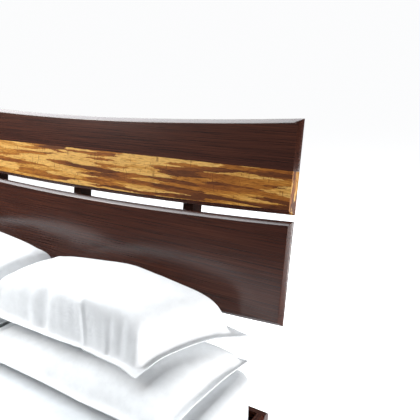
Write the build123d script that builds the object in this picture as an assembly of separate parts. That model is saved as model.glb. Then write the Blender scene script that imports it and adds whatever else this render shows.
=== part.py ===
from build123d import *
from math import cos, radians, sin
import os

os.makedirs("parts", exist_ok=True)

# A queen platform bed in the sleigh manner: a leaning two-board headboard and a low leaning
# footboard on bent posts, with a slatted base, a mattress and four pillows.
# Millimetres. X is across the bed, +Y points to the head, +Z is up, and the floor is Z = 0.
# On a leaning board, v runs up its face from the straight line where the inlay ends,
# and w runs into the board from its face.

# mattress and pillows
mattress_width = 1520
mattress_length = 2030
mattress_thick = 185
mattress_round = 30
mattress_gap = 6            # clearance between the mattress and each rail
pillow_length = 735
pillow_depth = 325
pillow_thick = 150
under_pillow_depth = 385
under_pillow_thick = 108
pillow_round = 50
pillow_spacing = 16         # between the left and the right pillow
pillow_clear = 14           # pillow to headboard, and under-pillow to the posts

# leaning boards
lean = 8.5                  # degrees from upright
board_width = 1650
board_thick = 25
front_bevel = 11.5
rear_bevel = 8
strip_height = 1020         # floor to the headboard's straight inlay line
dark_band = 112             # inlay line to the upper edge, at mid-width
inlay_band = 138.5          # inlay line to the lower edge, at mid-width
board_gap = 21
lower_board_height = 294.5
top_dip = 26                # each edge is this much lower at mid-width than at its ends
upper_low_dip = 22.5
lower_top_dip = 25.5
lower_low_dip = 28
inlay_thick = 4
inlay_shoulder = 1.5        # dark wood left between the inlay and the lower bevel
foot_strip_height = 430
foot_dark_band = 78
foot_inlay_band = 110
foot_dip = 18

# posts
post_width = 36
post_depth = 50
post_spacing = 476
post_bend_radius = 500
post_bend_drop = 40         # board's lower edge to the middle of the bend
post_top_drop = 42          # board's upper edge to the post's top, at mid-width
post_bevel = 4

# rails, slats, beam
rail_thick = 25
rail_height = 170
slat_top = 262
rail_lip = 45               # rail's top above the slats
rail_bevel = 8
slat_count = 12
slat_width = 100
slat_thick = 18
slat_clear = 2
slat_end_gap = 30
ledger_size = 30
beam_width = 45
beam_height = 70

# legs, glides, levellers
leg_size = 60
leg_foot_size = 44
leg_bevel = 4
glide_radius = 13
glide_thick = 4
glide_pin_radius = 2
glide_pin_length = 16
centre_leg_size = 45
centre_leg_shares = {"head": 0.68, "foot": 0.32}    # of the way from the foot rail to the head rail
leveller_radius = 19
leveller_thick = 9
leveller_travel = 12
leveller_reserve = 3        # thread left showing when the leveller is screwed right in
leveller_stud_radius = 4
leveller_stud_in = 42
leveller_collar_radius = 7.5
leveller_collar_clear = 0.5
thread_clear = 0.08         # radial, leveller stud in its nut
nut_flange_radius = 11
nut_flange_thick = 2
nut_barrel_radius = 6
nut_barrel_length = 20
dowel_radius = 5
dowel_length = 56

# hardware
bracket_thick = 3
bracket_reach = 110
bracket_height = 62
bracket_screw_reach = 88    # corner to the bracket's free screws
hanger_thick = 2.5
hanger_depth = 40
hanger_ear = 24
hanger_clear = 0.5
bolt_clear = 0.5            # radial, a bolt in its hole
small_bolt = 3              # radius of the bolts that hold the boards
large_bolt = 4              # radius of the bolts that hold posts and legs
insert_wall = 2
insert_length = 15
head_recess = 1             # a bolt head sits this far below the wood
board_screw_inset = 60      # bolt to the board's edge, along the post
rail_bolt_inset = 45
screw_radius = 2
screw_head_radius = 4.5
screw_head_thick = 2.5
slat_screw_length = 38
ledger_screw_length = 44
ledger_screw_count = 6
bracket_screw_length = 20

# derived places
sine = sin(radians(lean))
cosine = cos(radians(lean))
inner_width = mattress_width + 2 * mattress_gap
inner_length = mattress_length + 2 * mattress_gap
frame_width = inner_width + 2 * rail_thick
rail_top = slat_top + rail_lip
rail_bottom = rail_top - rail_height
slat_bottom = slat_top - slat_thick
beam_bottom = slat_bottom - beam_height
mattress_top = slat_top + mattress_thick
upper_low = -inlay_band
lower_top = upper_low - board_gap
lower_low = lower_top - lower_board_height
head_bend = lower_low - post_bend_drop
foot_bend = -foot_inlay_band - post_bend_drop
head_post_top = dark_band - post_top_drop
foot_post_top = foot_dark_band - post_top_drop
back = board_thick + post_depth

# Y of every plane across the bed, counted from the inner face of the head rail, which is
# placed last so that the whole bed is centred on Y = 0
rise = head_bend * sine + board_thick * cosine
head_face_from_rail = rail_thick - rise
rear_from_rail = head_face_from_rail + (head_post_top - post_bevel) * sine + back * cosine
foot_face_from_rail = (-inner_length - rail_thick - post_depth
                       + foot_bend * sine - board_thick * cosine)
front_from_rail = foot_face_from_rail - (foot_dark_band + foot_dip - front_bevel) * sine
head_rail_y = -(rear_from_rail + front_from_rail) / 2
foot_rail_y = head_rail_y - inner_length
head_face_y = head_rail_y + head_face_from_rail
foot_face_y = head_rail_y + foot_face_from_rail
head_post_y = head_rail_y + rail_thick
foot_post_y = foot_rail_y - rail_thick

head_plane = Plane((0, head_face_y, strip_height), x_dir=(1, 0, 0), z_dir=(0, -cosine, sine))
foot_plane = Plane((0, foot_face_y, foot_strip_height), x_dir=(1, 0, 0), z_dir=(0, -cosine, -sine))
head_post_xs = {"left": -post_spacing, "centre": 0, "right": post_spacing}
foot_post_xs = {"left": -post_spacing, "right": post_spacing}
sides = {"left": -1, "right": 1}


def save(name, *solids):
    """Write one node, of one solid or of several like ones."""
    shape = solids[0] if len(solids) == 1 else Compound(children=list(solids))
    export_step(shape, f"parts/{name}.step")


def block(x, y, z):
    """A box from three (low, high) pairs."""
    size = [high - low for low, high in (x, y, z)]
    middle = [(high + low) / 2 for low, high in (x, y, z)]
    return Pos(*middle) * Box(*size)


def on_plane(plane, x, v, w):
    """A frame on a leaning board: at x, v up its face, w into it, with Z out of the face."""
    return plane.location * Pos(x, v, -w)


# ---------------------------------------------------------------- fasteners

def bolt(radius, length):
    """Socket-head bolt: the head's underside is at Z = 0, and the shank runs down."""
    head = Pos(0, 0, radius) * Cylinder(1.75 * radius, 2 * radius)
    head = chamfer(head.edges().group_by(Axis.Z)[-1], 0.2 * radius)
    socket = extrude(Pos(0, 0, 2 * radius) * RegularPolygon(0.95 * radius, 6), amount=-1.2 * radius)
    shank = Pos(0, 0, -length / 2) * Cylinder(radius, length)
    return (head - socket) + shank


def bolt_hole(radius, length):
    """Clearance for a bolt: its shank, and a counterbore that sinks its head."""
    shank = Pos(0, 0, -length / 2) * Cylinder(radius + bolt_clear, length)
    mouth = 2 * radius + head_recess
    return shank + Pos(0, 0, mouth / 2) * Cylinder(1.75 * radius + bolt_clear, mouth)


def insert(radius):
    """Threaded insert: its mouth is at Z = 0, and it runs down."""
    outside = Cylinder(radius + insert_wall, insert_length)
    return Pos(0, 0, -insert_length / 2) * (outside - Cylinder(radius, insert_length))


def insert_hole(radius):
    return Pos(0, 0, -insert_length / 2) * Cylinder(radius + insert_wall, insert_length)


def wood_screw(length):
    """Countersunk screw: the head's flat top is at Z = 0, and the point is down."""
    cone = Pos(0, 0, -screw_head_thick / 2) * Cone(screw_radius, screw_head_radius, screw_head_thick)
    shank_length = length - screw_head_thick - 2 * screw_radius
    shank = Pos(0, 0, -screw_head_thick - shank_length / 2) * Cylinder(screw_radius, shank_length)
    point = Pos(0, 0, -length + screw_radius) * Cone(0.3, screw_radius, 2 * screw_radius)
    slot_depth = 0.6 * screw_head_thick
    slot = Pos(0, 0, -slot_depth / 2) * (Box(5, 1, slot_depth) + Box(1, 5, slot_depth))
    return cone + shank + point - slot


def screw_hole(length):
    cone = Pos(0, 0, -screw_head_thick / 2) * Cone(screw_radius, screw_head_radius, screw_head_thick)
    return cone + Pos(0, 0, -length / 2) * Cylinder(screw_radius, length)


# ---------------------------------------------------------------- leaning boards

def board_outline(top, top_fall, low, low_fall, inset=0):
    """A board's face: upright ends, and upper and lower edges that dip to the middle."""
    half = board_width / 2 - inset
    with BuildSketch() as face:
        with BuildLine():
            upper = ThreePointArc((-half, top + top_fall - inset), (0, top - inset),
                                  (half, top + top_fall - inset))
            lower = ThreePointArc((half, low + low_fall + inset), (0, low + inset),
                                  (-half, low + low_fall + inset))
            Line(upper @ 1, lower @ 0)
            Line(lower @ 1, upper @ 0)
        make_face()
    return face.sketch


def arched_board(top, top_fall, low, low_fall):
    """A board with every front edge and every rear edge bevelled, its face on Z = 0."""
    board = extrude(board_outline(top, top_fall, low, low_fall), amount=-board_thick)
    board = chamfer(board.edges().group_by(Axis.Z)[-1], front_bevel)
    return chamfer(board.edges().group_by(Axis.Z)[0], rear_bevel)


def inlaid_board(top, top_fall, low, low_fall):
    """A dark board, the inlay let into its face below v = 0, and the inlay's two end pieces."""
    board = arched_board(top, top_fall, low, low_fall)
    below = low - front_bevel
    face = board_outline(top, top_fall, low + inlay_shoulder, low_fall, inset=front_bevel)
    field = Pos(0, below / 2) * Rectangle(board_width, -below)
    inlay = extrude(face & field, amount=-inlay_thick)
    inlay_end = board_width / 2 - front_bevel
    ends = {side: board & block(sorted((sign * inlay_end, sign * board_width)),
                                (below, 0), (-board_thick, 0))
            for side, sign in sides.items()}
    for piece in (inlay, *ends.values()):
        board -= piece
    return board, inlay, ends


def bolt_rows(top, low):
    """Heights of the two bolts that join a board to a post."""
    return low + board_screw_inset, top - board_screw_inset


upper_rows = bolt_rows(head_post_top + post_top_drop / 2, upper_low)
lower_rows = bolt_rows(lower_top, lower_low)
foot_rows = bolt_rows(foot_post_top + post_top_drop, -foot_inlay_band)
board_bolt_length = post_depth - 2 * small_bolt - head_recess + insert_length
board_joints = [(head_plane, x, v) for x in head_post_xs.values() for v in (*upper_rows, *lower_rows)]
board_joints += [(foot_plane, x, v) for x in foot_post_xs.values() for v in foot_rows]


def make_boards():
    """The headboard's two boards and the footboard's one, drilled for their inserts."""
    upper, strip, ends = inlaid_board(dark_band, top_dip, upper_low, upper_low_dip)
    lower = arched_board(lower_top, lower_top_dip, lower_low, lower_low_dip)
    foot, foot_strip, foot_ends = inlaid_board(foot_dark_band, foot_dip, -foot_inlay_band, foot_dip)
    turned = Rot(180, 0, 0)
    for x in head_post_xs.values():
        for v in upper_rows:
            upper -= Pos(x, v, -board_thick) * turned * insert_hole(small_bolt)
        for v in lower_rows:
            lower -= Pos(x, v, -board_thick) * turned * insert_hole(small_bolt)
    for x in foot_post_xs.values():
        for v in foot_rows:
            foot -= Pos(x, v, -board_thick) * turned * insert_hole(small_bolt)
    save("headboard_upper_board", head_plane.location * upper)
    save("headboard_lower_board", head_plane.location * lower)
    save("headboard_tiger_inlay", head_plane.location * strip)
    save("footboard_board", foot_plane.location * foot)
    save("footboard_tiger_inlay", foot_plane.location * foot_strip)
    for side in sides:
        save(f"headboard_tiger_end_{side}", head_plane.location * ends[side])
        save(f"footboard_tiger_end_{side}", foot_plane.location * foot_ends[side])


def make_board_fasteners():
    """Bolts from the back of each post into inserts in the board."""
    seat = back - 2 * small_bolt - head_recess
    facing = Rot(180, 0, 0)
    bolts = [on_plane(plane, x, v, seat) * facing * bolt(small_bolt, board_bolt_length)
             for plane, x, v in board_joints]
    inserts = [on_plane(plane, x, v, board_thick) * facing * insert(small_bolt)
               for plane, x, v in board_joints]
    save("board_bolts", *bolts)
    save("board_inserts", *inserts)


# ---------------------------------------------------------------- posts

def bent_post(near_face, away, plane, bend, top):
    """A post that stands upright, then bends to lie along the back of a leaning board.

    near_face is the Y of its upright face on the mattress side, and away is +1 at the head
    and -1 at the foot, where the bed's outside lies.
    """
    far_face = near_face + away * post_depth
    front, rear = (near_face, far_face) if away > 0 else (far_face, near_face)

    def at(v, w):
        spot = on_plane(plane, 0, v, w).position
        return spot.Y, spot.Z

    def bend_at(y, w):
        """Where the upright line at Y = y meets the leaning line w into the board."""
        start, end = at(bend, w), at(top, w)
        share = (y - start[0]) / (end[0] - start[0])
        return y, start[1] + share * (end[1] - start[1])

    profile = Polyline((front, glide_thick), bend_at(front, board_thick), at(top, board_thick),
                       at(top, back), bend_at(rear, back), (rear, glide_thick), close=True)
    face = Plane.YZ * make_face(profile.edges())
    post = extrude(face, amount=post_width / 2, both=True)
    bends = post.edges().filter_by(Axis.X).sort_by(Axis.Z)
    inner_bend, outer_bend = sorted(bends[2:4], key=lambda edge: -away * edge.center().Y)
    post = fillet(inner_bend, post_bend_radius)
    outer_bend = post.edges().filter_by(Axis.X).filter_by(
        lambda edge: (edge.center() - outer_bend.center()).length < 1)
    post = fillet(outer_bend, post_bend_radius + post_depth)
    return chamfer(post.faces().sort_by(Axis.Z)[-1].edges(), post_bevel)


rail_bolt_heights = (rail_bottom + rail_bolt_inset, rail_top - rail_bolt_inset)
post_bolt_length = rail_thick - 2 * large_bolt - head_recess + insert_length


def make_posts():
    """Three posts behind the headboard and two behind the footboard."""
    ends = ((head_post_xs, head_post_y, 1, head_plane, head_bend, head_post_top, "headboard"),
            (foot_post_xs, foot_post_y, -1, foot_plane, foot_bend, foot_post_top, "footboard"))
    for xs, y, away, plane, bend, top, name in ends:
        blank = bent_post(y, away, plane, bend, top)
        for side, x in xs.items():
            post = Pos(x, 0, 0) * blank
            seat = back - 2 * small_bolt - head_recess
            for joint_plane, joint_x, v in board_joints:
                if joint_plane is plane and joint_x == x:
                    hole = Rot(180, 0, 0) * bolt_hole(small_bolt, post_depth)
                    post -= on_plane(plane, x, v, seat) * hole
            for z in rail_bolt_heights:
                post -= Pos(x, y, z) * Rot(away * 90, 0, 0) * insert_hole(large_bolt)
            post -= Pos(x, y + away * post_depth / 2, glide_thick) * glide_pin_hole()
            save(f"{name}_post_{side}", post)


# ---------------------------------------------------------------- glides and levellers

def glide():
    """A disc with a nail that holds it under a leg, standing on the floor."""
    disc = Pos(0, 0, glide_thick / 2) * Cylinder(glide_radius, glide_thick)
    disc = chamfer(disc.edges().group_by(Axis.Z)[0], 1)
    return disc + Pos(0, 0, glide_thick) * glide_pin_hole()


def glide_pin_hole():
    """The space of a glide's nail, up from the glide's top."""
    return Pos(0, 0, glide_pin_length / 2) * Cylinder(glide_pin_radius, glide_pin_length)


corner_x = inner_width / 2
leg_centre_x = corner_x - bracket_thick - leg_size / 2
leg_centre_ys = {"head": head_rail_y - bracket_thick - leg_size / 2,
                 "foot": foot_rail_y + bracket_thick + leg_size / 2}
corners = [(end, side) for end in ("head", "foot") for side in sides]


def make_glides():
    spots = [(x, head_post_y + post_depth / 2) for x in head_post_xs.values()]
    spots += [(x, foot_post_y - post_depth / 2) for x in foot_post_xs.values()]
    spots += [(sides[side] * leg_centre_x, leg_centre_ys[end]) for end, side in corners]
    save("leg_glides", *[Pos(x, y, 0) * glide() for x, y in spots])


# ---------------------------------------------------------------- rails and corners

end_bolt_z = rail_bottom + 52    # legs: the bolt into the end rail
side_bolt_z = end_bolt_z + 26    # legs: the bolt into the side rail, clear of the other
leg_bolt_length = leg_size + bracket_thick - 2 * large_bolt - head_recess + insert_length
bracket_low = rail_bottom + 8
bracket_screw_heights = (bracket_low + 14, bracket_low + bracket_height - 14)
ledger_top = slat_bottom
ledger_bottom = ledger_top - ledger_size


def corner_frame(end, side):
    """A frame at an inner corner, with X along the end rail and Y along the side rail, inward."""
    x = sides[side] * corner_x
    y = head_rail_y if end == "head" else foot_rail_y
    return Vector(x, y, 0), -sides[side], -1 if end == "head" else 1


def along_x(sign):
    """Turns a fastener so that its head faces along X, towards sign."""
    return Rot(0, 90 * sign, 0)


def along_y(sign):
    """Turns a fastener so that its head faces along Y, towards sign."""
    return Rot(-90 * sign, 0, 0)


def corner_fasteners(end, side):
    """Where a corner's fasteners go: places for leg bolts, inserts and bracket screws."""
    corner, inward_x, inward_y = corner_frame(end, side)
    middle = bracket_thick + leg_size / 2
    seat = bracket_thick + leg_size - 2 * large_bolt - head_recess
    to_side = along_x(inward_x)
    to_end = along_y(inward_y)
    x, y = corner.X, corner.Y
    bolts = {"side": Pos(x + inward_x * seat, y + inward_y * middle, side_bolt_z) * to_side,
             "end": Pos(x + inward_x * middle, y + inward_y * seat, end_bolt_z) * to_end}
    inserts = {"side": Pos(x, y + inward_y * middle, side_bolt_z) * to_side,
               "end": Pos(x + inward_x * middle, y, end_bolt_z) * to_end}
    reach = bracket_screw_reach
    screws = {"side": [Pos(x + inward_x * bracket_thick, y + inward_y * reach, z) * to_side
                       for z in bracket_screw_heights],
              "end": [Pos(x + inward_x * reach, y + inward_y * bracket_thick, z) * to_end
                      for z in bracket_screw_heights]}
    return bolts, inserts, screws


def make_corners():
    """Tapered legs, steel angle brackets, and the bolts and screws that join them."""
    brackets, leg_bolts, screws = [], [], []
    for end, side in corners:
        corner, inward_x, inward_y = corner_frame(end, side)
        bolts, _, bracket_screws = corner_fasteners(end, side)
        leg = corner_leg(sides[side] * leg_centre_x, leg_centre_ys[end])
        angle = corner_bracket(corner, inward_x, inward_y)
        for place in bolts.values():
            leg -= place * bolt_hole(large_bolt, leg_size)
            angle -= place * bolt_hole(large_bolt, leg_size + bracket_thick)
            leg_bolts.append(place * bolt(large_bolt, leg_bolt_length))
        for place in bracket_screws["side"] + bracket_screws["end"]:
            angle -= place * screw_hole(bracket_screw_length)
            screws.append(place * wood_screw(bracket_screw_length))
        save(f"corner_leg_{end}_{side}", leg)
        brackets.append(angle)
    save("corner_brackets", *brackets)
    save("leg_bolts", *leg_bolts)
    hanger_screws = [place * wood_screw(bracket_screw_length) for place in hanger_screw_places()]
    save("bracket_screws", *screws, *hanger_screws)


def corner_leg(x, y):
    """A square leg that carries the slats' ends and tapers below the rails."""
    half = leg_size / 2
    upper = block((x - half, x + half), (y - half, y + half), (rail_bottom, slat_bottom))
    wide = Plane((x, y, rail_bottom)) * Rectangle(leg_size, leg_size)
    narrow = Plane((x, y, glide_thick)) * Rectangle(leg_foot_size, leg_foot_size)
    leg = upper + loft([narrow, wide])
    leg = chamfer(leg.faces().sort_by(Axis.Z)[0].edges(), leg_bevel / 2)
    return leg - Pos(x, y, glide_thick) * glide_pin_hole()


def corner_bracket(corner, inward_x, inward_y):
    x, y = corner.X, corner.Y
    height = (bracket_low, bracket_low + bracket_height)
    far_x = sorted((x, x + inward_x * bracket_reach))
    far_y = sorted((y, y + inward_y * bracket_reach))
    on_end = block(far_x, sorted((y, y + inward_y * bracket_thick)), height)
    on_side = block(sorted((x, x + inward_x * bracket_thick)), far_y, height)
    angle = on_end + on_side
    tips = [edge for edge in angle.edges() if edge.length < bracket_thick * 1.01
            and (edge.center() - Vector(x, y, edge.center().Z)).length > bracket_reach * 0.9]
    return fillet(tips, 8)


def ledger_screw_ys():
    start = foot_rail_y + bracket_thick + leg_size
    length = inner_length - 2 * (bracket_thick + leg_size)
    return [start + length * (index + 0.25) / (ledger_screw_count - 0.5)
            for index in range(ledger_screw_count)]


def ledger_screw_places(side):
    sign = sides[side]
    return [Pos(sign * (corner_x - ledger_size), y, (ledger_top + ledger_bottom) / 2) * along_x(-sign)
            for y in ledger_screw_ys()]


def make_side_rails():
    """Side rails with their ledgers, which carry the slats."""
    for side, sign in sides.items():
        rail = block(sorted((sign * corner_x, sign * (corner_x + rail_thick))),
                     (foot_rail_y, head_rail_y), (rail_bottom, rail_top))
        outer = rail.edges().filter_by(Axis.Y).sort_by(lambda edge: sign * edge.center().X)[-2:]
        rail = chamfer(outer, rail_bevel)
        for end in ("head", "foot"):
            _, insert_places, screws = corner_fasteners(end, side)
            rail -= insert_places["side"] * insert_hole(large_bolt)
            for place in screws["side"]:
                rail -= place * screw_hole(bracket_screw_length)
        ledger = block(sorted((sign * (corner_x - ledger_size), sign * corner_x)),
                       (foot_rail_y + bracket_thick + leg_size, head_rail_y - bracket_thick - leg_size),
                       (ledger_bottom, ledger_top))
        for place in ledger_screw_places(side):
            rail -= place * screw_hole(ledger_screw_length)
            ledger -= place * screw_hole(ledger_screw_length)
        for place in slat_screw_places(side):
            ledger -= place * screw_hole(slat_screw_length)
        save(f"side_rail_{side}", rail)
        save(f"slat_ledger_{side}", ledger)
    places = ledger_screw_places("left") + ledger_screw_places("right")
    save("ledger_screws", *[place * wood_screw(ledger_screw_length) for place in places])


def make_end_rails():
    """Head and foot rails, with the bolts that hold the posts and every large insert."""
    bolts, inserts = [], []
    ends = (("head", head_rail_y, 1, head_post_xs), ("foot", foot_rail_y, -1, foot_post_xs))
    seat = rail_thick - 2 * large_bolt - head_recess
    for end, y, away, xs in ends:
        rail = block((-frame_width / 2, frame_width / 2), sorted((y, y + away * rail_thick)),
                     (rail_bottom, rail_top))
        outer = rail.edges().filter_by(Axis.X).sort_by(lambda edge: away * edge.center().Y)[-2:]
        rail = chamfer(outer, rail_bevel)
        for x in xs.values():
            for z in rail_bolt_heights:
                place = Pos(x, y + away * (rail_thick - seat), z) * along_y(-away)
                rail -= place * bolt_hole(large_bolt, rail_thick)
                bolts.append(place * bolt(large_bolt, post_bolt_length))
                inserts.append(Pos(x, y + away * rail_thick, z) * along_y(-away) * insert(large_bolt))
        for side in sides:
            _, insert_places, screws = corner_fasteners(end, side)
            rail -= insert_places["end"] * insert_hole(large_bolt)
            inserts += [place * insert(large_bolt) for place in insert_places.values()]
            for place in screws["end"]:
                rail -= place * screw_hole(bracket_screw_length)
        for place in hanger_screw_places(end):
            rail -= place * screw_hole(bracket_screw_length)
        save(f"{end}_rail", rail)
    save("post_bolts", *bolts)
    save("rail_inserts", *inserts)


# ---------------------------------------------------------------- centre beam

hanger_ends = {"head": (head_rail_y, -1), "foot": (foot_rail_y, 1)}


def hanger_screw_places(end=None):
    """Two screws in each ear of each beam hanger."""
    places = []
    for name in [end] if end else hanger_ends:
        y, inward = hanger_ends[name]
        for sign in sides.values():
            x = sign * (beam_width / 2 + hanger_clear + hanger_thick + hanger_ear / 2)
            for z in (beam_bottom + 0.25 * beam_height, beam_bottom + 0.75 * beam_height):
                places.append(Pos(x, y + inward * hanger_thick, z) * along_y(inward))
    return places


def beam_hanger(name):
    """A pressed steel stirrup: a back plate with ears, two cheeks and a floor under the beam."""
    y, inward = hanger_ends[name]
    cheek = beam_width / 2 + hanger_clear + hanger_thick
    wide = cheek + hanger_ear
    low = beam_bottom - hanger_thick
    plate = block((-wide, wide), sorted((y, y + inward * hanger_thick)), (low, ledger_top))
    cup = block((-cheek, cheek), sorted((y, y + inward * hanger_depth)), (low, ledger_top - 12))
    inside = block((-cheek + hanger_thick, cheek - hanger_thick),
                   sorted((y + inward * hanger_thick, y + inward * (hanger_depth + 1))),
                   (beam_bottom, ledger_top + 1))
    hanger = plate + cup - inside
    for place in hanger_screw_places(name):
        hanger -= place * screw_hole(bracket_screw_length)
    return hanger


centre_leg_ys = {end: foot_rail_y + share * inner_length for end, share in centre_leg_shares.items()}
centre_leg_bottom = leveller_thick + leveller_reserve + leveller_travel + nut_flange_thick


def leveller(y):
    """A round foot with a threaded stud, resting on the floor."""
    foot = Pos(0, y, leveller_thick / 2) * Cylinder(leveller_radius, leveller_thick)
    foot = chamfer(foot.edges().group_by(Axis.Z)[0], 1.5)
    foot = chamfer(foot.edges().group_by(Axis.Z)[-1], 3)
    stud_top = centre_leg_bottom + leveller_stud_in - leveller_travel
    stud = Pos(0, y, (leveller_thick + stud_top) / 2) * Cylinder(
        leveller_stud_radius, stud_top - leveller_thick)
    collar = extrude(Pos(0, y, leveller_thick) * RegularPolygon(leveller_collar_radius, 6),
                     amount=leveller_reserve - leveller_collar_clear)
    return foot + stud + collar


def make_centre_beam():
    """The beam under the slats, its hangers, its two legs and their levellers."""
    beam = block((-beam_width / 2, beam_width / 2),
                 (foot_rail_y + hanger_thick, head_rail_y - hanger_thick), (beam_bottom, slat_bottom))
    nuts, dowels = [], []
    for end, y in centre_leg_ys.items():
        leg = Pos(0, y, (centre_leg_bottom + beam_bottom) / 2) * Box(
            centre_leg_size, centre_leg_size, beam_bottom - centre_leg_bottom)
        leg = chamfer(leg.edges().filter_by(Axis.Z), leg_bevel)
        dowel = Pos(0, y, beam_bottom) * Cylinder(dowel_radius, dowel_length)
        barrel = Pos(0, y, centre_leg_bottom + nut_barrel_length / 2) * Cylinder(
            nut_barrel_radius, nut_barrel_length)
        flange = Pos(0, y, centre_leg_bottom - nut_flange_thick / 2) * Cylinder(
            nut_flange_radius, nut_flange_thick)
        bore = Pos(0, y, centre_leg_bottom) * Cylinder(leveller_stud_radius + thread_clear,
                                                       4 * nut_barrel_length)
        stud_room = Pos(0, y, centre_leg_bottom + leveller_stud_in / 2 + 2) * Cylinder(
            leveller_stud_radius + bolt_clear, leveller_stud_in + 4)
        leg = leg - dowel - barrel - stud_room
        beam -= dowel
        nuts.append(barrel + flange - bore)
        dowels.append(dowel)
        save(f"centre_leg_{end}", leg)
        save(f"leveller_{end}", leveller(y))
    save("centre_beam", beam)
    save("leveller_nuts", *nuts)
    save("centre_leg_dowels", *dowels)
    save("beam_hangers", *[beam_hanger(name) for name in hanger_ends])


# ---------------------------------------------------------------- slats

def slat_ys():
    """Centre line of each slat, from the foot to the head."""
    first = foot_rail_y + slat_end_gap + slat_width / 2
    last = head_rail_y - slat_end_gap - slat_width / 2
    return [first + (last - first) * index / (slat_count - 1) for index in range(slat_count)]


def slat_screw_places(side):
    x = sides[side] * (corner_x - ledger_size / 2)
    return [Pos(x, y, slat_top) for y in slat_ys()]


def make_slats():
    half = inner_width / 2 - slat_clear
    for number, y in enumerate(slat_ys(), start=1):
        slat = Pos(0, y, (slat_top + slat_bottom) / 2) * Box(2 * half, slat_width, slat_thick)
        slat = fillet(slat.edges().filter_by(Axis.X), 3)
        for side in sides:
            slat -= slat_screw_places(side)[number - 1] * screw_hole(slat_screw_length)
        save(f"slat_{number:02d}", slat)
    places = slat_screw_places("left") + slat_screw_places("right")
    save("slat_screws", *[place * wood_screw(slat_screw_length) for place in places])


# ---------------------------------------------------------------- mattress and pillows

def cushion(x, y, z, radius):
    """A plain closed solid with every edge rounded."""
    body = block(x, y, z)
    return fillet(body.edges(), radius)


def make_bedding():
    """The mattress, and two pillows stacked on each side, against the headboard."""
    half = mattress_width / 2
    foot_end = foot_rail_y + mattress_gap
    save("mattress", cushion((-half, half), (foot_end, foot_end + mattress_length),
                             (slat_top, mattress_top), mattress_round))
    face = on_plane(head_plane, 0, lower_low, 0).position.Y
    near = pillow_spacing / 2
    seam = mattress_top + under_pillow_thick
    for side, sign in sides.items():
        x = sorted((sign * near, sign * (near + pillow_length)))
        under_back = head_rail_y
        save(f"under_pillow_{side}", cushion(x, (under_back - under_pillow_depth - pillow_clear,
                                                 under_back - pillow_clear),
                                             (mattress_top, seam), pillow_round))
        save(f"pillow_{side}", cushion(x, (face - pillow_clear - pillow_depth, face - pillow_clear),
                                       (seam, seam + pillow_thick), pillow_round))


make_boards()
make_board_fasteners()
make_posts()
make_glides()
make_corners()
make_side_rails()
make_end_rails()
make_centre_beam()
make_slats()
make_bedding()
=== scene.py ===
import bpy
import bmesh
import math
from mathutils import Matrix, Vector, noise


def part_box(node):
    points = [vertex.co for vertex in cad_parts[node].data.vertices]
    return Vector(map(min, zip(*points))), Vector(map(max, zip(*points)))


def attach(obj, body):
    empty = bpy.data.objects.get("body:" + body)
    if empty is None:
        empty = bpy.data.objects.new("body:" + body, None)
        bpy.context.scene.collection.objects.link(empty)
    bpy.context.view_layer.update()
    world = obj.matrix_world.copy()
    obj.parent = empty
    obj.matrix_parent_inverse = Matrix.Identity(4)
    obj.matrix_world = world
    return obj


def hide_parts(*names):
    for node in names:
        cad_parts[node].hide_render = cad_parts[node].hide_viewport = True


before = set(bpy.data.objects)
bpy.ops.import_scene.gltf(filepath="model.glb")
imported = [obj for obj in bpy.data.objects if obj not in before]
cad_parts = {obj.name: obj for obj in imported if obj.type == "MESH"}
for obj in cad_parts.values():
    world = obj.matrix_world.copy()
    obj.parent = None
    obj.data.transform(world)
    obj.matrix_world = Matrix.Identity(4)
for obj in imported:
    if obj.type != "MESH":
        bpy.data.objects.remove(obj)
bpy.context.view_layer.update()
cadNames = sorted(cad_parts)
print("frame loaded:", len(cadNames), "nodes")


def deselectAll():
    if bpy.context.object and bpy.context.object.mode != "OBJECT":
        bpy.ops.object.mode_set(mode="OBJECT")
    bpy.ops.object.select_all(action="DESELECT")


def editAll():
    bpy.ops.object.mode_set(mode="EDIT")
    bpy.ops.mesh.select_all(action="SELECT")


def objectMode():
    bpy.ops.object.mode_set(mode="OBJECT")


def pickFaces(obj, test):
    # leaves edit mode in face select with only the faces that pass the test picked
    bpy.ops.object.mode_set(mode="EDIT")
    bpy.ops.mesh.select_mode(type="FACE")
    bpy.ops.mesh.select_all(action="DESELECT")
    bpy.ops.object.mode_set(mode="OBJECT")
    for face in obj.data.polygons:
        face.select = test(face)
    bpy.ops.object.mode_set(mode="EDIT")


def settle(obj):
    # place, turn and size go into the mesh
    deselectAll()
    obj.select_set(True)
    bpy.context.view_layer.objects.active = obj
    bpy.ops.object.transform_apply(location=True, rotation=True, scale=True)


def ownCopy(obj, name):
    deselectAll()
    obj.select_set(True)
    bpy.context.view_layer.objects.active = obj
    bpy.ops.object.duplicate()
    twin = bpy.context.object
    twin.name = name
    return twin


# ---- materials ----

def startMaterial(name):
    mat = bpy.data.materials.new(name)
    mat.use_nodes = True
    tree = mat.node_tree
    return mat, tree, tree.nodes["Principled BSDF"]


def mapped(tree, scale, shift=(0, 0, 0)):
    coords = tree.nodes.new("ShaderNodeTexCoord")
    mapping = tree.nodes.new("ShaderNodeMapping")
    mapping.inputs["Scale"].default_value = scale
    mapping.inputs["Location"].default_value = shift
    tree.links.new(coords.outputs["Object"], mapping.inputs["Vector"])
    return mapping.outputs["Vector"]


def noiseOn(tree, vector, detail=4.0, roughness=0.5, distortion=0.0, output="Fac"):
    tex = tree.nodes.new("ShaderNodeTexNoise")
    tex.inputs["Scale"].default_value = 1.0
    tex.inputs["Detail"].default_value = detail
    tex.inputs["Roughness"].default_value = roughness
    tex.inputs["Distortion"].default_value = distortion
    tree.links.new(vector, tex.inputs["Vector"])
    return tex.outputs[output]


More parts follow.
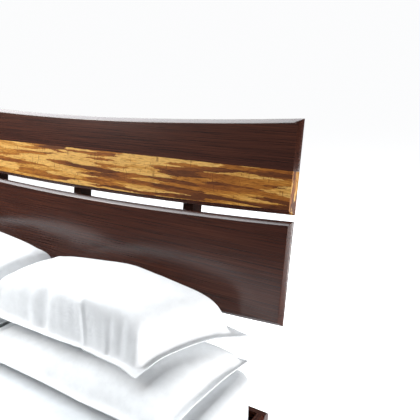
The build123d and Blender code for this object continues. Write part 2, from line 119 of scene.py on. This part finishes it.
def ramp(tree, value, stops, smooth=False):
    node = tree.nodes.new("ShaderNodeValToRGB")
    band = node.color_ramp
    if smooth:
        band.interpolation = "EASE"
    band.elements[0].position, band.elements[0].color = stops[0][0], (*stops[0][1], 1)
    band.elements[1].position, band.elements[1].color = stops[-1][0], (*stops[-1][1], 1)
    for place, colour in stops[1:-1]:
        band.elements.new(place).color = (*colour, 1)
    tree.links.new(value, node.inputs["Fac"])
    return node.outputs["Color"]


def mixed(tree, factor, a, b, blend="MIX"):
    node = tree.nodes.new("ShaderNodeMix")
    node.data_type = "RGBA"
    node.blend_type = blend
    for value, socket in ((factor, node.inputs[0]), (a, node.inputs[6]), (b, node.inputs[7])):
        if isinstance(value, bpy.types.NodeSocket):
            tree.links.new(value, socket)
        else:
            socket.default_value = value
    return node.outputs[2]


def maths(tree, operation, a, b):
    node = tree.nodes.new("ShaderNodeMath")
    node.operation = operation
    for value, socket in ((a, node.inputs[0]), (b, node.inputs[1])):
        if isinstance(value, bpy.types.NodeSocket):
            tree.links.new(value, socket)
        else:
            socket.default_value = value
    return node.outputs[0]


def warped(tree, vector, push, amounts):
    # the pattern's coordinates, pushed about by another noise
    centred = tree.nodes.new("ShaderNodeVectorMath")
    centred.operation = "MULTIPLY_ADD"
    tree.links.new(push, centred.inputs[0])
    centred.inputs[1].default_value = amounts
    tree.links.new(vector, centred.inputs[2])
    return centred.outputs["Vector"]


def ranged(tree, value, low, high):
    node = tree.nodes.new("ShaderNodeMapRange")
    node.inputs["To Min"].default_value = low
    node.inputs["To Max"].default_value = high
    tree.links.new(value, node.inputs["Value"])
    return node.outputs["Result"]


def bumpOn(tree, shader, height, strength, distance):
    node = tree.nodes.new("ShaderNodeBump")
    node.inputs["Strength"].default_value = strength
    node.inputs["Distance"].default_value = distance
    tree.links.new(height, node.inputs["Height"])
    tree.links.new(node.outputs["Normal"], shader.inputs["Normal"])


def grainScale(along, length, width):
    return tuple(1 / length if axis == along else 1 / width for axis in "XYZ")


# dark stained bamboo: fine straight fibres and wider laminated strips under a satin lacquer
sable = dict(deep=(0.017, 0.0048, 0.0029), body=(0.046, 0.0130, 0.0072), warm=(0.100, 0.0300, 0.0155),
             fibreLength=0.24, fibreWidth=0.0019, stripLength=1.6, stripWidth=0.019,
             roughness=(0.42, 0.55), specular=0.02, coat=0.9, coatRoughness=0.19)


# a shade below 1 darkens the whole colour, which the posts use as painted shade
def sableBamboo(name, along, coat=sable["coat"], shade=1.0):
    mat, tree, shader = startMaterial(name)
    fibres = noiseOn(tree, mapped(tree, grainScale(along, sable["fibreLength"], sable["fibreWidth"])),
                     detail=4, roughness=0.6)
    strips = noiseOn(tree, mapped(tree, grainScale(along, sable["stripLength"], sable["stripWidth"])),
                     detail=3, roughness=0.7)
    grain = ramp(tree, fibres, ((0.28, sable["deep"]), (0.50, sable["body"]), (0.76, sable["warm"])))
    tint = ramp(tree, strips, ((0.32, (0.80 * shade, 0.78 * shade, 0.80 * shade)), (0.52, (shade, shade, shade)),
                               (0.72, (1.20 * shade, 1.14 * shade, 1.08 * shade))))
    tree.links.new(mixed(tree, 1.0, grain, tint, "MULTIPLY"), shader.inputs["Base Color"])
    tree.links.new(ranged(tree, fibres, *sable["roughness"]), shader.inputs["Roughness"])
    shader.inputs["Specular IOR Level"].default_value = sable["specular"]
    shader.inputs["Coat Weight"].default_value = coat
    shader.inputs["Coat IOR"].default_value = 1.6
    shader.inputs["Coat Roughness"].default_value = sable["coatRoughness"]
    bumpOn(tree, shader, fibres, 0.05, 0.0003)
    return mat


# pressed strand bamboo: long ragged strands, each of its own tone, with fibres and node marks, and a painted shade
# that darkens it towards +X
tiger = dict(straw=(0.62, 0.365, 0.105), sand=(0.50, 0.245, 0.046), honey=(0.345, 0.130, 0.016),
             russet=(0.210, 0.062, 0.008), umber=(0.098, 0.027, 0.005),
             strandLength=0.17, strandHeight=0.0105, strandDepth=0.05, paintedFalloff=0.115,
             fibreLength=0.024, fibreWidth=0.0016, nodeWidth=0.0042, nodeHeight=0.020)


def tigerBamboo(name, along, seed=0.0, length=None, height=None, darker=0.0):
    mat, tree, shader = startMaterial(name)
    length = length or tiger["strandLength"]
    height = height or tiger["strandHeight"]
    size = {"X": (1 / length, 1 / tiger["strandDepth"], 1 / height),
            "Z": (1 / height, 1 / tiger["strandDepth"], 1 / length)}[along]
    ragged = noiseOn(tree, mapped(tree, grainScale(along, 0.030, 0.0022), (seed, 0, seed)),
                     detail=3, roughness=0.6, output="Color")
    wavy = noiseOn(tree, mapped(tree, grainScale(along, 0.16, 0.05), (0, seed, 0)), detail=2, output="Color")
    place = warped(tree, mapped(tree, size, (seed, 0, seed)), wavy, (0.7, 0.0, 0.7))
    place = warped(tree, place, ragged, (0.55, 0.0, 0.55))
    cells = tree.nodes.new("ShaderNodeTexVoronoi")
    cells.inputs["Scale"].default_value = 1.0
    cells.inputs["Randomness"].default_value = 0.95
    tree.links.new(place, cells.inputs["Vector"])
    tone = tree.nodes.new("ShaderNodeSeparateColor")
    tree.links.new(cells.outputs["Color"], tone.inputs["Color"])
    drift = noiseOn(tree, mapped(tree, grainScale(along, 0.32, 0.035), (seed, 3, 0)), detail=1)
    fibres = noiseOn(tree, mapped(tree, grainScale(along, tiger["fibreLength"], tiger["fibreWidth"])),
                     detail=3, roughness=0.55)
    level = maths(tree, "ADD", maths(tree, "MULTIPLY", tone.outputs[0], 0.62), maths(tree, "MULTIPLY", drift, 0.72))
    level = maths(tree, "ADD", level, maths(tree, "MULTIPLY", fibres, 0.26))
    level = maths(tree, "SUBTRACT", level, darker + 0.012)
    # painted shade: the tone is darkened along the object's X, standing in for the key light falling off towards the
    # right
    axes = tree.nodes.new("ShaderNodeSeparateXYZ")
    tree.links.new(mapped(tree, (1, 1, 1)), axes.inputs["Vector"])
    level = maths(tree, "SUBTRACT", level, maths(tree, "MULTIPLY", axes.outputs["X"], tiger["paintedFalloff"]))
    colour = ramp(tree, level, ((0.44, tiger["umber"]), (0.55, tiger["russet"]), (0.71, tiger["honey"]),
                                (0.79, tiger["sand"]), (0.90, tiger["straw"])))
    thread = ramp(tree, fibres, ((0.30, (0.42, 0.32, 0.20)), (0.47, (0.96, 0.94, 0.90)), (0.72, (1.22, 1.16, 1.04))))
    colour = mixed(tree, 1.0, colour, thread, "MULTIPLY")
    marks = noiseOn(tree, mapped(tree, {"X": (1 / tiger["nodeWidth"], 30, 1 / tiger["nodeHeight"]),
                                        "Z": (1 / tiger["nodeHeight"], 30, 1 / tiger["nodeWidth"])}[along],
                                 (seed, 5, 9)), detail=1)
    rare = noiseOn(tree, mapped(tree, (22, 22, 22), (seed, 1, 2)), detail=1)
    mask = maths(tree, "MULTIPLY", ramp(tree, marks, ((0.60, (0, 0, 0)), (0.68, (1, 1, 1)))),
                 ramp(tree, rare, ((0.50, (0, 0, 0)), (0.60, (0.60, 0.60, 0.60)))))
    colour = mixed(tree, mask, colour, (*tiger["umber"], 1))
    tree.links.new(colour, shader.inputs["Base Color"])
    tree.links.new(ranged(tree, fibres, 0.32, 0.50), shader.inputs["Roughness"])
    shader.inputs["Specular IOR Level"].default_value = 0.25
    shader.inputs["Coat Weight"].default_value = 0.12
    shader.inputs["Coat Roughness"].default_value = 0.2
    bumpOn(tree, shader, fibres, 0.12, 0.0004)
    return mat


def plainBamboo(name, along):
    mat, tree, shader = startMaterial(name)
    fine = noiseOn(tree, mapped(tree, grainScale(along, 0.30, 0.0022)), detail=4)
    strips = noiseOn(tree, mapped(tree, grainScale(along, 1.2, 0.020)), detail=1)
    grain = ramp(tree, fine, ((0.3, (0.42, 0.27, 0.125)), (0.55, (0.60, 0.42, 0.22)), (0.8, (0.70, 0.53, 0.31))))
    tint = ramp(tree, strips, ((0.35, (0.80, 0.76, 0.70)), (0.65, (1.08, 1.05, 1.0))))
    tree.links.new(mixed(tree, 1.0, grain, tint, "MULTIPLY"), shader.inputs["Base Color"])
    tree.links.new(ranged(tree, fine, 0.48, 0.62), shader.inputs["Roughness"])
    bumpOn(tree, shader, fine, 0.2, 0.0005)
    return mat


def metal(name, colour, roughness, metallic=1.0):
    mat, tree, shader = startMaterial(name)
    rub = noiseOn(tree, mapped(tree, (800, 800, 40)), detail=3)
    worn = noiseOn(tree, mapped(tree, (90, 90, 90)), detail=3)
    low = tuple(0.8 * c for c in colour)
    tree.links.new(ramp(tree, worn, ((0.35, low), (0.65, colour))), shader.inputs["Base Color"])
    tree.links.new(ranged(tree, rub, roughness - 0.08, roughness + 0.10), shader.inputs["Roughness"])
    shader.inputs["Metallic"].default_value = metallic
    bumpOn(tree, shader, rub, 0.08, 0.0003)
    return mat


def plastic(name, colour, roughness):
    mat, tree, shader = startMaterial(name)
    pebble = noiseOn(tree, mapped(tree, (1400, 1400, 1400)), detail=2)
    cloud = noiseOn(tree, mapped(tree, (60, 60, 60)), detail=2)
    low = tuple(0.8 * c for c in colour)
    tree.links.new(ramp(tree, cloud, ((0.35, low), (0.65, colour))), shader.inputs["Base Color"])
    tree.links.new(ranged(tree, pebble, roughness - 0.05, roughness + 0.08), shader.inputs["Roughness"])
    bumpOn(tree, shader, pebble, 0.12, 0.0002)
    return mat


def wovenCotton(name, colour, thread, bump, sheen=0.25):
    # two crossed sets of threads, with a faint unevenness in the yarn
    mat, tree, shader = startMaterial(name)
    sets = []
    for axis in ("X", "Y"):
        wave = tree.nodes.new("ShaderNodeTexWave")
        wave.bands_direction = axis
        wave.inputs["Scale"].default_value = 0.314 / thread
        wave.inputs["Distortion"].default_value = 0.4
        wave.inputs["Detail"].default_value = 1.0
        tree.links.new(mapped(tree, (1, 1, 1)), wave.inputs["Vector"])
        sets.append(wave.outputs["Fac"])
    weave = maths(tree, "MAXIMUM", *sets)
    yarn = noiseOn(tree, mapped(tree, (35, 35, 35)), detail=5, roughness=0.65)
    low = tuple(0.93 * c for c in colour)
    shade = ramp(tree, yarn, ((0.35, low), (0.6, colour)))
    cross = ramp(tree, weave, ((0.0, (0.90, 0.90, 0.91)), (1.0, (1, 1, 1))))
    tree.links.new(mixed(tree, 1.0, shade, cross, "MULTIPLY"), shader.inputs["Base Color"])
    tree.links.new(ranged(tree, yarn, 0.78, 0.92), shader.inputs["Roughness"])
    shader.inputs["Sheen Weight"].default_value = sheen
    shader.inputs["Sheen Roughness"].default_value = 0.5
    bumpOn(tree, shader, weave, bump, 0.0004)
    return mat


sableX = sableBamboo("sable_across", "X")
sableY = sableBamboo("sable_along", "Y")
sableZ = sableBamboo("sable_upright", "Z", coat=0.5)
# painted shade: the posts get the upright bamboo darkened to 0.4 for the shadow they stand in between the boards,
# with a thinner coat
sablePostPaintedShade = sableBamboo("sable_post_painted_shade", "Z", coat=0.2, shade=0.4)
tigerX = tigerBamboo("tiger_strand", "X")
tigerZ = tigerBamboo("tiger_strand_end", "Z", seed=2.3, length=0.05, height=0.0032, darker=0.03)
plainX = plainBamboo("bamboo_slat", "X")
plainY = plainBamboo("bamboo_beam", "Y")
plainZ = plainBamboo("bamboo_leg", "Z")
zincSteel = metal("zinc_steel", (0.60, 0.61, 0.62), 0.34)
blackSteel = metal("black_steel", (0.025, 0.025, 0.027), 0.42, metallic=0.0)
brass = metal("brass", (0.72, 0.50, 0.22), 0.30)
glidePlastic = plastic("glide_plastic", (0.035, 0.030, 0.028), 0.5)
percale = wovenCotton("pillow_percale", (0.86, 0.875, 0.885), 0.0006, 0.12)
sheeting = wovenCotton("sheet_cotton", (0.70, 0.72, 0.735), 0.0007, 0.12)
ticking = wovenCotton("mattress_ticking", (0.72, 0.71, 0.68), 0.0012, 0.35)

finishes = {
    sableX: ("headboard_upper_board", "headboard_lower_board", "footboard_board", "head_rail", "foot_rail"),
    sableY: ("side_rail_left", "side_rail_right"),
    sableZ: tuple(n for n in cadNames if n.startswith("corner_leg_")),
    sablePostPaintedShade: tuple(n for n in cadNames if n.startswith(("headboard_post", "footboard_post"))),
    tigerX: ("headboard_tiger_inlay", "footboard_tiger_inlay"),
    tigerZ: tuple(n for n in cadNames if "tiger_end" in n),
    plainX: tuple(n for n in cadNames if n.startswith(("slat_0", "slat_1"))),
    plainY: ("centre_beam", "slat_ledger_left", "slat_ledger_right"),
    plainZ: ("centre_leg_head", "centre_leg_foot"),
    blackSteel: ("corner_brackets", "beam_hangers"),
    brass: ("board_inserts", "rail_inserts"),
    glidePlastic: ("leg_glides",),
}
dressed = {name: mat for mat, names in finishes.items() for name in names}
for name in cadNames:
    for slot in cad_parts[name].material_slots:
        slot.material = dressed.get(name, zincSteel)
print("materials on", len(cadNames), "nodes")

# ---- softened arrises on the three boards ----

boards = dict(lean=8.5, thick=0.025, frontBevel=0.0115, rearBevel=0.008, inlayThick=0.004,
              round=0.0018, near=0.0006)


def softBoard(node, name, lean, place, faceFrom):
    # a copy of the board whose outer arrises are rounded over, for the light to run along
    angle = math.radians(lean)
    into = Vector((0, math.cos(angle), -math.sin(angle)))
    up = Vector((0, math.sin(angle), math.cos(angle)))
    board = bpy.data.objects.new(name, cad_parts[node].data.copy())
    bpy.context.scene.collection.objects.link(board)
    deselectAll()
    board.select_set(True)
    bpy.context.view_layer.objects.active = board
    editAll()
    bpy.ops.mesh.remove_doubles(threshold=0.00002)
    bpy.ops.mesh.dissolve_limited(angle_limit=math.radians(0.15))
    bpy.ops.mesh.select_mode(type="EDGE")
    bpy.ops.mesh.select_all(action="DESELECT")
    objectMode()
    rims = (boards["frontBevel"], boards["thick"] - boards["rearBevel"])
    for edge in board.data.edges:
        ends = [board.data.vertices[i].co - place for i in edge.vertices]
        deep = [end.dot(into) for end in ends]
        high = [end.dot(up) for end in ends]
        onRim = any(all(abs(d - rim) < boards["near"] for d in deep) for rim in rims)
        onFace = all(abs(d) < boards["near"] for d in deep) and all(h > faceFrom for h in high)
        edge.select = onRim or onFace
    bpy.ops.object.mode_set(mode="EDIT")
    bpy.ops.mesh.bevel(offset=boards["round"], segments=3)
    objectMode()
    bpy.ops.object.shade_smooth_by_angle(angle=math.radians(25))
    weigh = board.modifiers.new("WeightedNormal", "WEIGHTED_NORMAL")
    weigh.weight = 100
    weigh.keep_sharp = True
    bpy.ops.object.modifier_apply(modifier=weigh.name)
    board.data.materials.clear()
    board.data.materials.append(sableX)
    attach(board, "bed_frame")
    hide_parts(node)


headInlayLow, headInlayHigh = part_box("headboard_tiger_inlay")
footInlayLow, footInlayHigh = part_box("footboard_tiger_inlay")
leanAngle = math.radians(boards["lean"])
headLine = Vector((0, headInlayHigh.y - boards["inlayThick"] * math.cos(leanAngle), headInlayHigh.z))
footLine = Vector((0, footInlayLow.y, footInlayHigh.z - boards["inlayThick"] * math.sin(leanAngle)))
softBoard("headboard_upper_board", "headboard_upper_wood", boards["lean"], headLine, 0.02)
softBoard("headboard_lower_board", "headboard_lower_wood", boards["lean"], headLine, -9)
softBoard("footboard_board", "footboard_wood", -boards["lean"], footLine, 0.02)
print("board arrises softened")

# ---- pillows ----

# flat: the case laid out, flange and all; rim and crown: heights over the foot and the top of its space
oxford = dict(flat=(0.80, 0.395), cell=0.0085, thick=0.014, flange=0.028, pressure=3.8, frames=26,
              hem=0.007, layer=0.0016, rim=0.017, crown=0.015, fullness=0.42, slant=0.185, innerLift=0.018, innerReach=0.10,
              endReach=0.10, endHeight=0.76, waist=0.062, tips=0.014, straighten=0.8, droop=0.0, sag=0.012, dent=0.005, fill=0.75)
plump = dict(flat=(0.79, 0.440), cell=0.0100, thick=0.014, flange=0.008, pressure=2.2, frames=22,
             hem=0.005, layer=0.0016, rim=0.034, crown=-0.006, fullness=0.60, slant=0.02, innerLift=0.02, innerReach=0.06,
             endReach=0.10, endHeight=0.85, waist=0.015, tips=0.0, straighten=0.5, droop=0.045, sag=0.0, dent=0.004, fill=0.6)


def flatCase(spec, name):
    # two layers of cloth, closed all round, lying flat at the origin
    deselectAll()
    length, depth = spec["flat"]
    bpy.ops.mesh.primitive_grid_add(x_subdivisions=round(length / spec["cell"]),
                                    y_subdivisions=round(depth / spec["cell"]), size=1)
    case = bpy.context.object
    case.name = name
    editAll()
    bpy.ops.transform.resize(value=(length, depth, 1))
    bpy.ops.mesh.extrude_region_move(TRANSFORM_OT_translate={"value": (0, 0, spec["thick"])})
    bpy.ops.mesh.select_all(action="SELECT")
    bpy.ops.mesh.normals_make_consistent(inside=False)
    bpy.ops.transform.translate(value=(0, 0, -spec["thick"] / 2))
    objectMode()
    return case


def sewFlange(case, spec):
    # loose edges between the layers along the stitched line, and the weights that the stuffing presses on
    half = Vector(spec["flat"]) / 2
    seamX, seamY = half.x - spec["flange"], half.y - spec["flange"]
    reach = 0.5 * spec["cell"]
    mesh = bmesh.new()
    mesh.from_mesh(case.data)
    stacks = {}
    for vert in mesh.verts:
        stacks.setdefault((round(vert.co.x, 4), round(vert.co.y, 4)), []).append(vert)
    for (x, y), pair in stacks.items():
        onLong = abs(abs(y) - seamY) < reach and abs(x) < seamX + reach
        onShort = abs(abs(x) - seamX) < reach and abs(y) < seamY + reach
        if len(pair) == 2 and (onLong or onShort) and not mesh.edges.get(pair):
            mesh.edges.new(pair)
    mesh.to_mesh(case.data)
    mesh.free()
    stuffed = case.vertex_groups.new(name="stuffed")
    inside = [v.index for v in case.data.vertices
              if abs(v.co.x) < seamX - reach and abs(v.co.y) < seamY - reach]
    stuffed.add(inside, 1.0, "REPLACE")


def stuff(case, spec):
    # the layers are blown up like a stuffed case, and the loose edges pull the flange shut
    cloth = case.modifiers.new("Cloth", "CLOTH")
    rules = cloth.settings
    rules.quality = 6
    rules.mass = 0.25
    rules.tension_stiffness = rules.compression_stiffness = 15
    rules.shear_stiffness = 5
    rules.bending_stiffness = 3
    rules.tension_damping = 10
    rules.air_damping = 4
    rules.use_pressure = True
    rules.uniform_pressure_force = spec["pressure"]
    rules.vertex_group_pressure = "stuffed"
    rules.use_sewing_springs = True
    rules.sewing_force_max = 20
    rules.effector_weights.gravity = 0
    cloth.collision_settings.use_collision = False
    cloth.point_cache.frame_start, cloth.point_cache.frame_end = 1, spec["frames"]
    for step in range(1, spec["frames"] + 1):
        bpy.context.scene.frame_set(step)
    bpy.context.view_layer.objects.active = case
    bpy.ops.object.modifier_apply(modifier=cloth.name)
    bpy.context.scene.frame_set(1)


def dropStitches(case):
    mesh = bmesh.new()
    mesh.from_mesh(case.data)
    bmesh.ops.delete(mesh, geom=[e for e in mesh.edges if not e.link_faces], context="EDGES")
    mesh.to_mesh(case.data)
    mesh.free()
    deselectAll()
    case.select_set(True)
    bpy.context.view_layer.objects.active = case
    editAll()
    bpy.ops.mesh.vertices_smooth(factor=0.5, repeat=4)     # the sharpest pinches ironed out
    objectMode()


def eased(value):
    value = min(1, max(0, value))
    return value * value * (3 - 2 * value)


def edgeLines(points, length, count=20):
    # how far the case reaches to either side, in strips along its length
    lines = [[0.0, 0.0] for _ in range(count)]
    for point in points:
        strip = min(count - 1, int((point.x / length + 0.5) * count))
        lines[strip] = [min(lines[strip][0], point.y), max(lines[strip][1], point.y)]
    return lines


def reachAt(lines, share):
    # the reach at a share of the length, read between the middles of two strips
    place = min(len(lines) - 1, max(0, share * len(lines) - 0.5))
    first = min(len(lines) - 2, int(place))
    part = place - first
    return [lines[first][i] * (1 - part) + lines[first + 1][i] * part for i in (0, 1)]


def fitPillow(case, spec, node, side):
    # sized to the node's space: a low rim, a high full crown and a bottom that lies on what is below,
    # with the inner end full against its neighbour and the outer end slanting away
    low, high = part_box(node)
    centre, size = (low + high) / 2, high - low
    points = [v.co.copy() for v in case.data.vertices]
    least = [min(p[i] for p in points) for i in range(3)]
    most = [max(p[i] for p in points) for i in range(3)]
    top, floor = high.z + spec["crown"], low.z + 0.001
    lines = edgeLines(points, most[0] - least[0])
    for vert in case.data.vertices:
        x, y = ((vert.co[i] - least[i]) / (most[i] - least[i]) - 0.5 for i in (0, 1))
        front, back = reachAt(lines, x + 0.5)
        straight = (vert.co.y - front) / (back - front) - 0.5
        y = min(0.5, max(-0.5, y + spec["straighten"] * (straight - y)))
        inner, outer = (x + 0.5) * size.x, (0.5 - x) * size.x
        near = 1 - eased(inner / spec["innerReach"])
        tucked = max(0, spec["flange"] - inner)     # the inner flange folds down between the two pillows
        rim = low.z + spec["rim"] + spec["innerLift"] * near - 0.9 * tucked
        rim -= spec["tips"] * (1 - eased(outer / 0.10)) * eased((abs(y) - 0.2) / 0.3)
        ceiling = spec["endHeight"] + (1 - spec["endHeight"]) * eased(outer / spec["endReach"])
        tall = most[2] if vert.co.z > 0 else -least[2]
        share = max(0, abs(vert.co.z) - spec["hem"]) / (tall - spec["hem"])
        share = share ** (spec["fullness"] * (1 - 0.4 * near))
        share = 2 ** 0.25 * share / (1 + (share / ceiling) ** 4) ** 0.25
        edge = max(0, -2 * y)
        dip = spec["droop"] * edge ** 1.5 + spec["sag"] * (1 - 4 * x * x)
        goal = top - dip if vert.co.z > 0 else floor
        x -= max(0, x) * 2 * (spec["slant"] * (0.5 - y) ** 1.4 + spec["waist"] * (1 - 4 * y * y))
        x -= (0.5 - x) * spec["flange"] / size.x * (1 - 0.96 * min(1, tucked / spec["flange"]))
        lift = math.copysign(spec["layer"], vert.co.z)
        vert.co = (centre.x + side * x * size.x, centre.y + y * size.y, rim + share * (goal - rim) + lift)
    if side < 0:
        editAll()
        bpy.ops.mesh.flip_normals()
        objectMode()


def softenSkin(case, seed, amount):
    # slow dents, so that no two pillows are the same
    for vert in case.data.vertices:
        dent = noise.noise(Vector((vert.co.x * 5 + seed, vert.co.y * 7, vert.co.z * 4)))
        vert.co.z += amount * dent * min(1, 12 * abs(vert.normal.z) ** 2)


def finishPillow(case, node):
    smooth = case.modifiers.new("Subdivision", "SUBSURF")
    smooth.levels = smooth.render_levels = 1
    deselectAll()
    case.select_set(True)
    bpy.context.view_layer.objects.active = case
    bpy.ops.object.modifier_apply(modifier=smooth.name)
    bpy.ops.object.shade_smooth()
    case.data.materials.clear()
    case.data.materials.append(percale)
    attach(case, "bed_frame")
    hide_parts(node)


def makePillows(spec, stem, seed):
    master = flatCase(spec, stem + "_master")
    sewFlange(master, spec)
    stuff(master, spec)
    dropStitches(master)
    for side, sign in (("right", 1), ("left", -1)):
        pillow = ownCopy(master, f"{stem}_{side}_cover")
        fitPillow(pillow, spec, f"{stem}_{side}", sign)
        pillow.data.update()
        softenSkin(pillow, seed + 3 * sign, spec["dent"])
        finishPillow(pillow, f"{stem}_{side}")
    bpy.data.objects.remove(master)
    print(stem, "pair made")


makePillows(oxford, "pillow", 1.7)
makePillows(plump, "under_pillow", 6.1)

# ---- mattress and sheet ----

bedding = dict(corner=0.055, edge=0.026, cell=0.014, crown=0.004,
               sheetGap=0.0012, sheetThick=0.0008, turnedUnder=0.085, crease=0.0016, fill=0.9)


def slabShape(name, grow):
    # the mattress block with round corners and edges, grown by a little for the sheet
    low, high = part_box("mattress")
    size = high - low
    deselectAll()
    bpy.ops.mesh.primitive_cube_add(size=1, location=(low + high) / 2)
    slab = bpy.context.object
    slab.name = name
    slab.scale = size + Vector((2 * grow, 2 * grow, grow))
    slab.location.z += grow / 2
    settle(slab)
    editAll()
    bpy.ops.mesh.select_mode(type="EDGE")
    bpy.ops.mesh.select_all(action="DESELECT")
    objectMode()
    for edge in slab.data.edges:
        a, b = (slab.data.vertices[i].co for i in edge.vertices)
        edge.select = abs(a.z - b.z) > 0.1
    bpy.ops.object.mode_set(mode="EDIT")
    bpy.ops.mesh.bevel(offset=bedding["corner"], segments=6)
    bpy.ops.mesh.select_all(action="DESELECT")
    objectMode()
    ring = [high.z + grow, low.z]
    for edge in slab.data.edges:
        a, b = (slab.data.vertices[i].co for i in edge.vertices)
        edge.select = any(abs(a.z - z) < 1e-4 and abs(b.z - z) < 1e-4 for z in ring)
    bpy.ops.object.mode_set(mode="EDIT")
    bpy.ops.mesh.bevel(offset=bedding["edge"], segments=4)
    objectMode()
    return slab


def evenMesh(obj, cell):
    remesh = obj.modifiers.new("Remesh", "REMESH")
    remesh.mode = "VOXEL"
    remesh.voxel_size = cell
    deselectAll()
    obj.select_set(True)
    bpy.context.view_layer.objects.active = obj
    bpy.ops.object.modifier_apply(modifier=remesh.name)


def makeMattress():
    mattress = slabShape("mattress_body", -0.004)
    evenMesh(mattress, bedding["cell"])
    low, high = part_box("mattress")
    half = (high - low) / 2
    centre = (high + low) / 2
    for vert in mattress.data.vertices:
        x, y = (vert.co.x - centre.x) / half.x, (vert.co.y - centre.y) / half.y
        if vert.co.z > centre.z:
            vert.co.z += bedding["crown"] * (1 - x * x) * (1 - y * y)
    bpy.ops.object.shade_smooth()
    mattress.data.materials.append(ticking)
    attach(mattress, "bed_frame")
    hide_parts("mattress")
    return mattress


def makeFittedSheet(mattress):
    low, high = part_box("mattress")
    size = high - low
    sheet = slabShape("fitted_sheet", bedding["sheetGap"])
    evenMesh(sheet, bedding["cell"])
    tuck = bedding["turnedUnder"]
    pickFaces(sheet, lambda face: face.center.z < low.z + 0.01
              and low.x + tuck < face.center.x < high.x - tuck
              and low.y + tuck < face.center.y < high.y - tuck)
    bpy.ops.mesh.delete(type="FACE")
    objectMode()
    half = size / 2
    centre = (high + low) / 2
    for vert in sheet.data.vertices:
        x, y = (vert.co.x - centre.x) / half.x, (vert.co.y - centre.y) / half.y
        pull = max(0, abs(x) * abs(y) - 0.55) * 2
        ripple = noise.noise(Vector((vert.co.x * 9, vert.co.y * 9, vert.co.z * 30)))
        fold = noise.noise(Vector((vert.co.x * 2.2 + vert.co.y * 1.3, vert.co.y * 0.8, 4)))
        height = bedding["crown"] * (1 - x * x) * (1 - y * y) if vert.co.z > centre.z else 0
        if vert.co.z > high.z - 0.02:
            vert.co.z += height + bedding["crease"] * (max(0, fold) + pull * max(0, ripple))
    shell = sheet.modifiers.new("Solidify", "SOLIDIFY")
    shell.thickness = bedding["sheetThick"]
    shell.offset = 1
    bpy.ops.object.modifier_apply(modifier=shell.name)
    bpy.ops.object.shade_smooth()
    sheet.data.materials.append(sheeting)
    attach(sheet, "bed_frame")


makeFittedSheet(makeMattress())
print("mattress and sheet made")

# ---- camera, floor, light ----

inlayLow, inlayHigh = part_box("headboard_tiger_inlay")
view = dict(side=1.286, ahead=1.170, above=0.241, turn=31.98, tilt=15.57, lens=41.3)


def addCamera():
    deselectAll()
    bpy.ops.object.camera_add(location=(view["side"], inlayHigh.y - view["ahead"], inlayHigh.z + view["above"]),
                              rotation=(math.radians(90 - view["tilt"]), 0, math.radians(view["turn"])))
    cam = bpy.context.object
    cam.data.lens = view["lens"]
    cam.data.clip_start = 0.05
    bpy.context.scene.camera = cam


def addFloor():
    deselectAll()
    bpy.ops.mesh.primitive_plane_add(size=80)
    floor = bpy.context.object
    floor.name = "floor"
    mat, tree, shader = startMaterial("pale_floor")
    shader.inputs["Base Color"].default_value = (0.82, 0.83, 0.84, 1)
    shader.inputs["Roughness"].default_value = 0.95
    shader.inputs["Specular IOR Level"].default_value = 0.1
    path = tree.nodes.new("ShaderNodeLightPath")
    tree.links.new(maths(tree, "MULTIPLY", path.outputs["Is Camera Ray"], 0.90), shader.inputs["Emission Strength"])
    shader.inputs["Emission Color"].default_value = (1, 1, 1, 1)
    floor.data.materials.append(mat)


def softbox(name, place, aim, size, power, colour=(1, 1, 1)):
    deselectAll()
    bpy.ops.object.light_add(type="AREA", location=place)
    lamp = bpy.context.object
    lamp.name = name
    lamp.data.shape = "RECTANGLE"
    lamp.data.size, lamp.data.size_y = size
    lamp.data.energy = power
    lamp.data.color = colour
    lamp.visible_camera = False
    lamp.rotation_euler = (Vector(aim) - Vector(place)).to_track_quat("-Z", "Y").to_euler()


def addWorld():
    world = bpy.data.worlds.new("studio")
    bpy.context.scene.world = world
    world.use_nodes = True
    tree = world.node_tree
    back = tree.nodes["Background"]
    path = tree.nodes.new("ShaderNodeLightPath")
    pick = mixed(tree, path.outputs["Is Camera Ray"], (0.085, 0.088, 0.095, 1), (0.970, 0.973, 0.980, 1))
    tree.links.new(pick, back.inputs["Color"])
    back.inputs["Strength"].default_value = 1.0


addCamera()
addFloor()
addWorld()
softbox("overhead", (-1.35, 1.15, 2.8), (-0.2, 0.9, 0.7), (3.6, 2.6), 185, (0.92, 0.965, 1.0))
softbox("left_key", (-1.75, -0.45, 2.15), (-0.3, 0.9, 0.8), (1.0, 1.0), 47, (1.0, 0.97, 0.94))
softbox("right_fill", (2.2, 0.95, 0.62), (0.6, 0.8, 0.55), (0.7, 0.7), 34)
bpy.context.scene.view_settings.view_transform = "Standard"
print("camera and light set")
